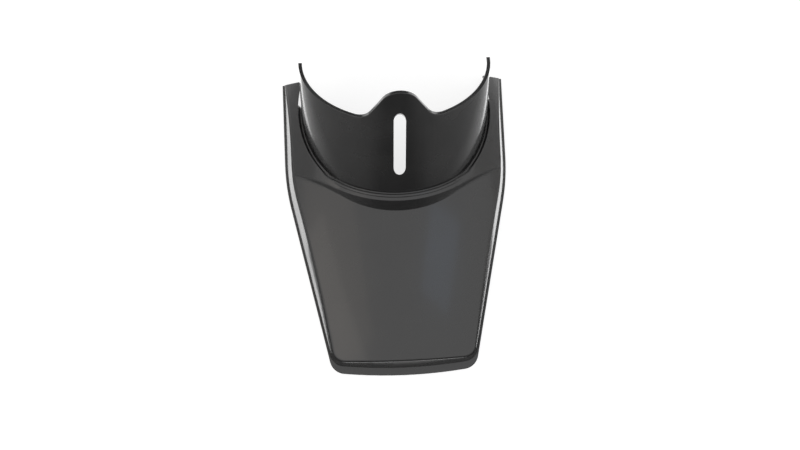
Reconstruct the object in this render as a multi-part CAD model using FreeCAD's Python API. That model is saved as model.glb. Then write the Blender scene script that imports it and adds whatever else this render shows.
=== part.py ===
import FreeCAD, Part
import math
import os
from FreeCAD import Placement, Rotation, Vector

# Motorcycle rear inner fender: one moulding, lying on the rim of its flap.
# X runs across, Y from the flap's free end to the collar, Z up. Millimetres and degrees.
# The origin is on the rest plane, at the middle of the width and about the middle of the length.

# Moulded wall
wall = 2.5

# Flap in plan, from its straight sides beside the ears to its rounded free end
taper_angle = 12.2
shoulder_radius = 150.0
shoulder_y = 46.0
free_end_y = -106.0
free_end_bow_radius = 345.0
free_end_corner_radius = 11.0

# Turned-down edge of the flap and its rim
wall_draft = 16.0
rim_thickness = 2.0
rim_lip_side = 0.5
rim_lip_end = 4.8
edge_round = 2.4

# Crowned panel of the flap
panel_crown_y = 30.0
panel_drop = 7.0
panel_side_z = 13.5
panel_radius_along = 486.0

# Collar, a half pipe that slides into the end of a metal fender
collar_radius = 65.5
collar_tilt = 52.5
collar_length = 63.0
seam_y = 16.4
collar_axis_z = 0.1

# Tongue in the middle of the collar's free edge
tongue_height = 23.5
tongue_radius = 13.5
tongue_flank_angle = 57.0
tongue_valley_radius = 12.0

# Bolt slot, open along Z
slot_width = 8.0
slot_start_y = 26.6
slot_length = 32.2

# Ledge round the foot of the collar, on a riser that flares out to the sides
ledge_width = 5.2
ledge_flare_angle = 33.0
ledge_bead_radius = 1.2
ledge_bead_offset = 2.0

# Shoulders, which rise out of the panel and run on into the ears that grip the metal fender's edges
shoulder_crown_y = 45.0
shoulder_drop = 0.1
shoulder_side_z = 12.7
shoulder_radius_along = 200.0
shoulder_round = 3.5
ear_width = 13.2
ear_end_y = 103.5
ear_slit = 2.2
ear_slit_start = 21.0
groove_depth = 1.5

# Room that cutting bodies have beyond what they cut, and how far crowned bodies swing to either side
reach = 40.0
crown_swing = 60.0

tilt = math.radians(collar_tilt)
taper = math.radians(taper_angle)
draft = math.tan(math.radians(wall_draft))
half_width = collar_radius + ear_width
seam_z = collar_axis_z + collar_radius * math.cos(tilt)
block_top = seam_z + wall
riser_radius = collar_radius + ledge_width * math.sin(tilt)

# The collar's own frame: Z along its axis to the free edge, -Y at its crown, origin in the plane of the seam
collar_origin = Vector(0, seam_y + collar_radius * math.sin(tilt), collar_axis_z)
collar_frame = Placement(collar_origin, Rotation(Vector(1, 0, 0), collar_tilt - 90))


def mirrored(point):
    return Vector(-point.x, point.y, point.z)


def outline(side_inset, end_inset, top_y, z):
    """The flap's plan outline up to top_y, with sharp corners at its free end, moved inwards."""
    centre = Vector(half_width - shoulder_radius, shoulder_y, z)
    radius = shoulder_radius - side_inset

    def on_shoulder(angle):
        return centre + Vector(math.cos(angle), -math.sin(angle), 0) * radius

    top = Vector(half_width - side_inset, top_y, z)
    straight_end = on_shoulder(0)
    shoulder_mid = on_shoulder(taper / 2)
    taper_start = on_shoulder(taper)
    down = Vector(-math.sin(taper), -math.cos(taper), 0)
    bow_centre = Vector(0, free_end_y + free_end_bow_radius, z)
    bow_radius = free_end_bow_radius - end_inset
    from_centre = taper_start - bow_centre
    along = from_centre.dot(down)
    run = -along + math.sqrt(along**2 - from_centre.Length**2 + bow_radius**2)
    corner = taper_start + down * run
    bow_mid = bow_centre - Vector(0, bow_radius, 0)
    edges = [
        Part.LineSegment(top, straight_end),
        Part.Arc(straight_end, shoulder_mid, taper_start),
        Part.LineSegment(taper_start, corner),
        Part.Arc(corner, bow_mid, mirrored(corner)),
        Part.LineSegment(mirrored(corner), mirrored(taper_start)),
        Part.Arc(mirrored(taper_start), mirrored(shoulder_mid), mirrored(straight_end)),
        Part.LineSegment(mirrored(straight_end), mirrored(top)),
        Part.LineSegment(mirrored(top), top),
    ]
    return Part.Wire([edge.toShape() for edge in edges])


def corner_edges(block):
    """The two upright edges at the flap's free end."""
    found = []
    for edge in block.Edges:
        ends = [vertex.Point for vertex in edge.Vertexes]
        upright = len(ends) == 2 and abs(ends[0].z - ends[1].z) > rim_thickness / 2
        if upright and edge.CenterOfMass.y < shoulder_y - reach:
            found.append(edge)
    return found


def rim_plate():
    plate = Part.Face(outline(0, 0, ear_end_y, 0)).extrude(Vector(0, 0, rim_thickness))
    return plate.makeFillet(free_end_corner_radius, corner_edges(plate))


def edge_block(inset, top_y, bottom):
    """Everything inside the turned-down edge up to top_y, with sides that lean in with height."""
    wires = []
    for z in (bottom, block_top):
        lean = inset + z * draft
        wires.append(outline(rim_lip_side + lean, rim_lip_end + lean, top_y, z))
    block = Part.makeLoft(wires, True, True)
    corner = free_end_corner_radius - rim_lip_side - inset
    return block.makeFillet(corner, corner_edges(block))


def crowned_block(crown_y, drop, side_z, along, inset):
    """Everything under a surface that is highest at crown_y, by drop under the seam, and falls to side_z."""
    crown_z = seam_z - drop
    fall = crown_z - side_z
    across = (half_width**2 + fall**2) / (2 * fall)
    half = half_width + wall
    right = Vector(half, crown_y, crown_z - across + math.sqrt((across - inset) ** 2 - half**2))
    crown = Vector(0, crown_y, crown_z - inset)
    low_right = Vector(half, crown_y, -2 * reach)
    profile = Part.Wire([
        Part.Arc(mirrored(right), crown, right).toShape(),
        Part.LineSegment(right, low_right).toShape(),
        Part.LineSegment(low_right, mirrored(low_right)).toShape(),
        Part.LineSegment(mirrored(low_right), mirrored(right)).toShape(),
    ])
    axis_point = Vector(0, crown_y, crown_z - along)
    face = Part.Face(profile)
    face.rotate(axis_point, Vector(1, 0, 0), -crown_swing)
    return face.revolve(axis_point, Vector(1, 0, 0), 2 * crown_swing)


def barrel(radius, start, length):
    """A cylinder about the collar's axis."""
    body = Part.makeCylinder(radius, length, Vector(0, 0, start))
    body.Placement = collar_frame
    return body


def on_ledge(distance):
    """A point on the ledge above its crown, that far from the collar, in the collar's frame."""
    return Vector(0, -collar_radius - distance * math.sin(tilt), -distance * math.cos(tilt))


def ledge_block(inset):
    """Everything under the ledge, a cone about the collar's axis that is level at its crown."""
    drop = Vector(0, math.cos(tilt), -math.sin(tilt)) * inset
    inner = on_ledge(-wall) + drop
    outer = on_ledge(reach) + drop
    low = Vector(0, 0, -4 * reach)
    points = [inner, outer, Vector(0, outer.y, low.z), low, Vector(0, 0, inner.z), inner]
    face = Part.Face(Part.makePolygon(points))
    block = face.revolve(Vector(0, 0, 0), Vector(0, 0, 1), 360)
    block.Placement = collar_frame
    return block


def ledge_bead():
    centre = on_ledge(ledge_bead_offset)
    ring = Part.makeTorus(-centre.y, ledge_bead_radius)
    ring.Placement = collar_frame.multiply(Placement(Vector(0, 0, centre.z), Rotation()))
    return ring


def riser(inset):
    """Everything inside the ledge's outer wall, which follows the collar and flares out to the sides."""
    radius = riser_radius - inset
    flare = math.radians(ledge_flare_angle)
    low = -4 * reach
    crown = Vector(0, -radius, low)
    tangent = Vector(radius * math.sin(flare), -radius * math.cos(flare), low)
    run = 2 * half_width - tangent.x
    side = tangent + Vector(run, run * math.tan(flare), 0)
    back = Vector(side.x, 4 * reach, low)
    edges = [
        Part.LineSegment(mirrored(side), mirrored(tangent)),
        Part.Arc(mirrored(tangent), crown, tangent),
        Part.LineSegment(tangent, side),
        Part.LineSegment(side, back),
        Part.LineSegment(back, mirrored(back)),
        Part.LineSegment(mirrored(back), mirrored(side)),
    ]
    face = Part.Face(Part.Wire([edge.toShape() for edge in edges]))
    body = face.extrude(Vector(0, 0, -2 * low))
    body.Placement = collar_frame
    return body


def panel_body(inset, bottom):
    crowned = crowned_block(panel_crown_y, panel_drop, panel_side_z, panel_radius_along, inset)
    return edge_block(inset, collar_origin.y, bottom).common(crowned)


def shoulder_crown(inset):
    return crowned_block(shoulder_crown_y, shoulder_drop, shoulder_side_z, shoulder_radius_along, inset)


def shoulder_body(inset, bottom):
    """The shoulders and ears, which step up from the panel along the riser."""
    block = edge_block(inset, ear_end_y + inset, bottom).common(riser(inset))
    return block.common(shoulder_crown(inset))


def ledge_body(inset, bottom):
    ledge = ledge_block(inset).common(riser(inset))
    return edge_block(inset, ear_end_y + inset, bottom).common(ledge)


def rounded_crown(body, radius, start_y, end_y):
    """The body with the edges round its crowned face rounded, but for those at start_y and end_y."""
    crown = max(body.Faces, key=lambda face: face.CenterOfMass.z)
    edges = [edge for edge in crown.Edges if start_y + wall < edge.CenterOfMass.y < end_y - wall]
    return body.makeFillet(radius, edges)


def collar_blank():
    """The collar's outline seen square on its crown, pulled through it, with a straight edge and a tongue."""
    flank = math.radians(tongue_flank_angle)
    top = Vector(0, 0, collar_length + tongue_height)
    tongue_centre = top - Vector(0, 0, tongue_radius)
    flank_top = tongue_centre + Vector(math.sin(flank), 0, math.cos(flank)) * tongue_radius
    valley_rise = tongue_valley_radius * (1 - math.cos(flank))
    flank_run = (flank_top.z - collar_length - valley_rise) / math.tan(flank)
    flank_low = Vector(flank_top.x + flank_run, 0, collar_length + valley_rise)
    valley_low = Vector(flank_low.x + tongue_valley_radius * math.sin(flank), 0, collar_length)
    valley_centre = valley_low + Vector(0, 0, tongue_valley_radius)
    valley_mid = valley_centre - Vector(math.sin(flank / 2), 0, math.cos(flank / 2)) * tongue_valley_radius
    wide = collar_radius + wall
    side_top = Vector(wide, 0, collar_length)
    side_low = Vector(wide, 0, -wall)
    edges = [
        Part.Arc(mirrored(flank_top), top, flank_top),
        Part.LineSegment(flank_top, flank_low),
        Part.Arc(flank_low, valley_mid, valley_low),
        Part.LineSegment(valley_low, side_top),
        Part.LineSegment(side_top, side_low),
        Part.LineSegment(side_low, mirrored(side_low)),
        Part.LineSegment(mirrored(side_low), mirrored(side_top)),
        Part.LineSegment(mirrored(side_top), mirrored(valley_low)),
        Part.Arc(mirrored(valley_low), mirrored(valley_mid), mirrored(flank_low)),
        Part.LineSegment(mirrored(flank_low), mirrored(flank_top)),
    ]
    face = Part.Face(Part.Wire([edge.toShape() for edge in edges]))
    blank = face.extrude(Vector(0, -collar_radius - wall, 0))
    blank.Placement = collar_frame
    return blank


def slot_cutter():
    radius = slot_width / 2
    start = Vector(0, slot_start_y + radius, 0)
    end = Vector(0, slot_start_y + slot_length - radius, 0)
    side = Vector(radius, 0, 0)
    cap = Vector(0, radius, 0)
    edges = [
        Part.LineSegment(start + side, end + side),
        Part.Arc(end + side, end + cap, end - side),
        Part.LineSegment(end - side, start - side),
        Part.Arc(start - side, start - cap, start + side),
    ]
    face = Part.Face(Part.Wire([edge.toShape() for edge in edges]))
    return face.extrude(Vector(0, 0, 5 * reach))


def inner_fender():
    panel_room = panel_body(wall, -wall).cut(riser(2 * wall))
    room = panel_room.fuse([shoulder_body(wall, -wall), ledge_body(wall, -wall)])
    bore = barrel(collar_radius - wall, -4 * reach, 8 * reach)
    panel = rounded_crown(panel_body(0, 0), edge_round, free_end_y, collar_origin.y).cut(riser(0))
    shoulders = rounded_crown(shoulder_body(0, 0), shoulder_round, panel_crown_y, ear_end_y)
    bead = edge_block(0, ear_end_y, 0).common(ledge_bead())
    rim = rim_plate().cut(edge_block(wall, ear_end_y + wall, -wall))
    shell = panel.fuse([shoulders, ledge_body(0, 0), bead, rim]).cut(room).cut(bore)
    groove = barrel(collar_radius + ear_slit, 0, 8 * reach).cut(shoulder_crown(groove_depth))
    slit = barrel(collar_radius + ear_slit, ear_slit_start, 8 * reach)
    shell = shell.cut(groove).cut(slit)
    pipe = barrel(collar_radius, -2 * reach, 6 * reach).cut(bore)
    collar = pipe.common(collar_blank()).cut(room)
    return shell.fuse(collar).cut(slot_cutter()).removeSplitter()


os.makedirs("parts", exist_ok=True)
fender = inner_fender()
fender.exportStep("parts/inner_fender.step")
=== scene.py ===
"""Motorcycle rear inner fender in glossy black moulded plastic, on a white floor and seen from above."""

import math

import bpy
from mathutils import Matrix, Vector

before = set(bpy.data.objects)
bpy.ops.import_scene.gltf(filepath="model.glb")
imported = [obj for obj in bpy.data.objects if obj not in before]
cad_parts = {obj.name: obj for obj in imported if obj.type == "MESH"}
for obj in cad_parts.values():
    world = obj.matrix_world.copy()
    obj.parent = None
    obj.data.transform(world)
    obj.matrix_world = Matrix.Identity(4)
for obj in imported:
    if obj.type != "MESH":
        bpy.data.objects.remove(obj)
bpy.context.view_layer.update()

# Camera, in metres, millimetres of lens and degrees, aimed at the origin
camera_elevation = 82.0
camera_yaw = 2.51
camera_roll = 2.5
camera_distance = 0.9
camera_lens = 57.05
camera_sensor = 36.0
camera_shift_x = 0.0021

# Plastic: its colours and gloss
plastic_dark = (0.011, 0.011, 0.0115, 1.0)
plastic_light = (0.019, 0.0185, 0.018, 1.0)
plastic_ior = 1.5
skin_ior = 1.35
skin_roughness = 0.05
gloss_roughness = 0.2
worn_roughness = 0.32
worn_range = (0.35, 0.7)

# Plastic: the sizes of its patches and textures, in metres, and the detail of their noise
patch_size = 0.03
patch_detail = 5.0
grain_size = 0.0007
grain_detail = 3.0
grain_height = 0.00002
ripple_size = 0.012
ripple_detail = 2.0
ripple_height = 0.000012

# Plastic: how far its edges are softened, in metres, and where the shoulders' softer edges begin and end
edge_softness = 0.0007
shoulder_softness = 0.0022
edge_samples = 6
shoulder_x = (0.03, 0.05)
shoulder_y = (0.038, 0.032)

# Floor and world
floor_width = 6.0
floor_colour = (0.5, 0.5, 0.5, 1.0)
floor_lift = 0.68
floor_mirrored_lift = 1.1
floor_z = -0.0002
world_colour = (1.0, 1.0, 1.0, 1.0)
world_light = 0.85
background = 1.0

# Tray, seen only in the plastic's gloss: painted reflections, dark in the middle, grey to the sides and pale
# close beside the ears
tray_painted_dark = (0.1, 0.1, 0.1, 1.0)
tray_painted_grey = (0.33, 0.33, 0.33, 1.0)
tray_painted_pale = (0.7, 0.7, 0.7, 1.0)
tray_side_x = (0.06, 0.13)
tray_beside_x = (0.12, 0.086)
tray_beside_y = (-0.05, 0.03)
tray_foot_right = ((0.085, 0.11), (0.087, 0.035), (0.0794, 0.013), (0.0694, -0.021), (0.0619, -0.055),
                   (0.054, -0.09), (0.042, -0.115))
tray_foot_left = ((-0.085, 0.11), (-0.088, 0.04), (-0.0843, 0.013), (-0.0715, -0.021), (-0.0636, -0.055),
                  (-0.054, -0.09), (-0.042, -0.115))
tray_top = ((0.32, 0.12, 0.01), (0.32, 0.04, 0.01), (0.32, 0.0, 0.01), (0.31, -0.08, 0.015),
            (0.3, -0.18, 0.025), (0.28, -0.26, 0.05), (0.2, -0.35, 0.15))

# Cards to the sides, whose painted reflection shades from the foot up, and a dark card at the back, a painted
# dark reflection; only the plastic's gloss shows them
card_painted_low = (1.0, 1.0, 1.0, 1.0)
card_painted_high = (0.98, 0.97, 0.96, 1.0)
card_shade_z = (0.07, 0.2)
card_x = 0.5
card_y = (-0.2, 0.5)
card_z = (0.07, 0.35)
# Dark card at the back: a painted dark reflection in the plastic's gloss
back_painted_dark = (0.1, 0.1, 0.1, 1.0)
back_y = 0.6
back_width = 1.2
back_height = 0.3

# Lamps: name, place, width, height, radiance and colour
lamps = (
    ("left_box", (-0.57, -0.13, 0.88), 0.9, 0.5, 0.22, (1.0, 0.84, 0.7)),
    ("left_strip", (-0.6, -0.35, 0.72), 0.8, 0.4, 0.4, (1.0, 0.93, 0.85)),
    ("right_box", (0.4, -0.14, 0.92), 0.4, 0.28, 0.42, (0.45, 0.66, 1.0)),
)


def empty_tree(owner):
    """The node tree of a material or world, with no nodes."""
    owner.use_nodes = True
    owner.node_tree.nodes.clear()
    return owner.node_tree


def add_node(tree, kind, inputs, **attributes):
    """A new node with these attributes, and with its inputs set to values or linked from sockets."""
    node = tree.nodes.new(kind)
    for name, value in attributes.items():
        setattr(node, name, value)
    for name, value in inputs.items():
        if isinstance(value, bpy.types.NodeSocket):
            tree.links.new(value, node.inputs[name])
        else:
            node.inputs[name].default_value = value
    return node


def calculate(tree, operation, *values):
    """The result of a sum on values and sockets."""
    return add_node(tree, "ShaderNodeMath", dict(enumerate(values)), operation=operation).outputs[0]


def ramp(tree, value, ends, low=0.0, high=1.0):
    """From the low level where the value is at the first end to the high level at the other."""
    inputs = {"Value": value, "From Min": ends[0], "From Max": ends[1], "To Min": low, "To Max": high}
    return add_node(tree, "ShaderNodeMapRange", inputs).outputs["Result"]


def blend(tree, share, first, second):
    """From the first colour to the second."""
    inputs = {"Factor": share, 6: first, 7: second}
    return add_node(tree, "ShaderNodeMix", inputs, data_type="RGBA").outputs[2]


def noise(tree, place, size, detail):
    """Noise whose features are about that size, in metres."""
    inputs = {"Vector": place, "Scale": 1.0 / size, "Detail": detail}
    return add_node(tree, "ShaderNodeTexNoise", inputs).outputs["Fac"]


def bump(tree, height, distance, normal):
    """The normal, tilted by bumps that are that many metres high."""
    inputs = {"Strength": 1.0, "Distance": distance, "Height": height, "Normal": normal}
    return add_node(tree, "ShaderNodeBump", inputs).outputs["Normal"]


def object_place(tree):
    return add_node(tree, "ShaderNodeTexCoord", {}).outputs["Object"]


def distances(tree, place):
    """The distance of a place from the middle plane, its Y and its Z."""
    split = add_node(tree, "ShaderNodeSeparateXYZ", {"Vector": place})
    return calculate(tree, "ABSOLUTE", split.outputs["X"]), split.outputs["Y"], split.outputs["Z"]


def seen_directly(tree, camera_level, mirrored_level):
    """The first level for rays from the camera, the other for reflections and clear views, else zero."""
    path = add_node(tree, "ShaderNodeLightPath", {})
    mirrored = calculate(tree, "MAXIMUM", path.outputs["Is Glossy Ray"], path.outputs["Is Transmission Ray"])
    share = calculate(tree, "MULTIPLY", mirrored, mirrored_level)
    return calculate(tree, "MULTIPLY_ADD", path.outputs["Is Camera Ray"], camera_level, share)


def black_plastic():
    """Moulded plastic: a fine grain and a slow ripple in its skin, and patches where the gloss is rubbed."""
    material = bpy.data.materials.new("black_plastic")
    tree = empty_tree(material)
    place = object_place(tree)
    aside, along, height = distances(tree, place)
    patches = noise(tree, place, patch_size, patch_detail)
    shoulder = calculate(tree, "MULTIPLY", ramp(tree, aside, shoulder_x), ramp(tree, along, shoulder_y))
    softness = ramp(tree, shoulder, (0.0, 1.0), edge_softness, shoulder_softness)
    edges = add_node(tree, "ShaderNodeBevel", {"Radius": softness}, samples=edge_samples).outputs["Normal"]
    ripple = bump(tree, noise(tree, place, ripple_size, ripple_detail), ripple_height, edges)
    grain = bump(tree, noise(tree, place, grain_size, grain_detail), grain_height, ripple)
    shader = add_node(tree, "ShaderNodeBsdfPrincipled", {
        "Base Color": blend(tree, patches, plastic_dark, plastic_light),
        "Roughness": ramp(tree, patches, worn_range, gloss_roughness, worn_roughness),
        "IOR": plastic_ior,
        "Normal": grain,
        "Coat Weight": 1.0,
        "Coat IOR": skin_ior,
        "Coat Roughness": skin_roughness,
        "Coat Normal": grain,
    })
    add_node(tree, "ShaderNodeOutputMaterial", {"Surface": shader.outputs["BSDF"]})
    return material


def white_floor():
    """A white floor that is lifted to the background's white but keeps the shadow."""
    material = bpy.data.materials.new("white_floor")
    tree = empty_tree(material)
    paper = add_node(tree, "ShaderNodeBsdfDiffuse", {"Color": floor_colour})
    lift = seen_directly(tree, floor_lift, floor_mirrored_lift)
    glow = add_node(tree, "ShaderNodeEmission", {"Strength": lift})
    both = add_node(tree, "ShaderNodeAddShader", {0: paper.outputs["BSDF"], 1: glow.outputs["Emission"]})
    add_node(tree, "ShaderNodeOutputMaterial", {"Surface": both.outputs["Shader"]})
    return material


def painted_reflection_sheet(name, shade):
    """A matt sheet for the plastic's gloss to show, whose colour, a painted reflection, is what shade gives
    for a tree and the three distances of a place in it.
    """
    material = bpy.data.materials.new(name)
    tree = empty_tree(material)
    colour = shade(tree, *distances(tree, object_place(tree)))
    reflection_shader = add_node(tree, "ShaderNodeBsdfDiffuse", {"Color": colour})
    add_node(tree, "ShaderNodeOutputMaterial", {"Surface": reflection_shader.outputs["BSDF"]})
    return material


# Painted reflection: dark in the middle, grey to the sides and pale beside the ears
def tray_shade(tree, x, y, z):
    beside = calculate(tree, "MULTIPLY", ramp(tree, x, tray_beside_x), ramp(tree, y, tray_beside_y))
    return blend(tree, beside, blend(tree, ramp(tree, x, tray_side_x), tray_painted_dark, tray_painted_grey), tray_painted_pale)


# Painted reflection: near white, a little warmer and greyer higher up
def card_shade(tree, x, y, z):
    return blend(tree, ramp(tree, z, card_shade_z), card_painted_low, card_painted_high)


# Painted dark reflection, the same all over
def back_shade(tree, x, y, z):
    return back_painted_dark


def add_sheet(name, corners, faces, material):
    """A piece of the studio, of flat faces."""
    mesh = bpy.data.meshes.new(name)
    mesh.from_pydata(corners, [], faces)
    sheet = bpy.data.objects.new(name, mesh)
    sheet.data.materials.append(material)
    bpy.context.scene.collection.objects.link(sheet)
    return sheet


def add_floor():
    half = floor_width / 2
    corners = [(-half, -half, floor_z), (half, -half, floor_z), (half, half, floor_z), (-half, half, floor_z)]
    add_sheet("floor", corners, [(0, 1, 2, 3)], white_floor())


def add_card(name, foot, top, material):
    """A studio card between two rows of corners, which only the plastic's gloss shows, so that its colour is
    a painted reflection.
    """
    count = len(foot)
    faces = [(i, i + 1, count + i + 1, count + i) for i in range(count - 1)]
    card = add_sheet(name, [*foot, *top], faces, material)
    card.visible_camera = False
    card.visible_diffuse = False
    card.visible_shadow = False


def add_cards():
    """A tray of cards that lean away from the flap, a card far to each side and a dark card at the back,
    whose colours are painted reflections in the plastic.
    """
    foot = [(x, y, 0.0) for x, y in (*tray_foot_right, *reversed(tray_foot_left))]
    top = [*tray_top, *[(-x, y, z) for x, y, z in reversed(tray_top)]]
    add_card("dark_tray", foot, top, painted_reflection_sheet("tray_painted_reflection", tray_shade))

    side_card_reflection = painted_reflection_sheet("card_painted_reflection", card_shade)
    low, high = card_z
    for name, x in (("left_card", -card_x), ("right_card", card_x)):
        add_card(name, [(x, y, low) for y in card_y], [(x, y, high) for y in card_y], side_card_reflection)

    ends = (-back_width / 2, back_width / 2)
    foot = [(x, back_y, 0.0) for x in ends]
    top = [(x, back_y, back_height) for x in ends]
    add_card("back_card", foot, top, painted_reflection_sheet("back_painted_reflection", back_shade))


def add_softbox(name, location, width, height, radiance, colour):
    """A soft square lamp that faces the object."""
    lamp = bpy.data.lights.new(name, "AREA")
    lamp.shape = "RECTANGLE"
    lamp.size = width
    lamp.size_y = height
    lamp.color = colour
    lamp.energy = radiance * math.pi * width * height
    holder = bpy.data.objects.new(name, lamp)
    holder.location = location
    holder.rotation_euler = Vector(location).to_track_quat("Z", "Y").to_euler()
    holder.visible_camera = False
    bpy.context.scene.collection.objects.link(holder)


def add_world():
    """White light from all round, and a white background where the world is seen or mirrored."""
    world = bpy.data.worlds.new("studio")
    tree = empty_tree(world)
    strength = ramp(tree, seen_directly(tree, 1.0, 1.0), (0.0, 1.0), world_light, background)
    sky = add_node(tree, "ShaderNodeBackground", {"Color": world_colour, "Strength": strength})
    add_node(tree, "ShaderNodeOutputWorld", {"Surface": sky.outputs["Background"]})
    bpy.context.scene.world = world


def add_camera():
    elevation = math.radians(camera_elevation)
    yaw = math.radians(camera_yaw)
    roll = math.radians(camera_roll)
    level = math.sin(elevation)
    back = Vector((-math.sin(yaw) * level, -math.cos(elevation), math.cos(yaw) * level))
    level_up = (Vector((0, 1, 0)) - back * back.y).normalized()
    level_right = level_up.cross(back)
    right = level_right * math.cos(roll) - level_up * math.sin(roll)
    up = level_right * math.sin(roll) + level_up * math.cos(roll)
    lens = bpy.data.cameras.new("camera")
    lens.lens = camera_lens
    lens.sensor_width = camera_sensor
    lens.shift_x = camera_shift_x
    camera = bpy.data.objects.new("camera", lens)
    turn = Matrix((right, up, back)).transposed().to_4x4()
    camera.matrix_world = Matrix.Translation(back * camera_distance) @ turn
    bpy.context.scene.collection.objects.link(camera)
    bpy.context.scene.camera = camera


bpy.context.scene.view_settings.view_transform = "Standard"
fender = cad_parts["inner_fender"]
fender.data.materials.clear()
fender.data.materials.append(black_plastic())
add_floor()
add_cards()
add_world()
for lamp in lamps:
    add_softbox(*lamp)
add_camera()
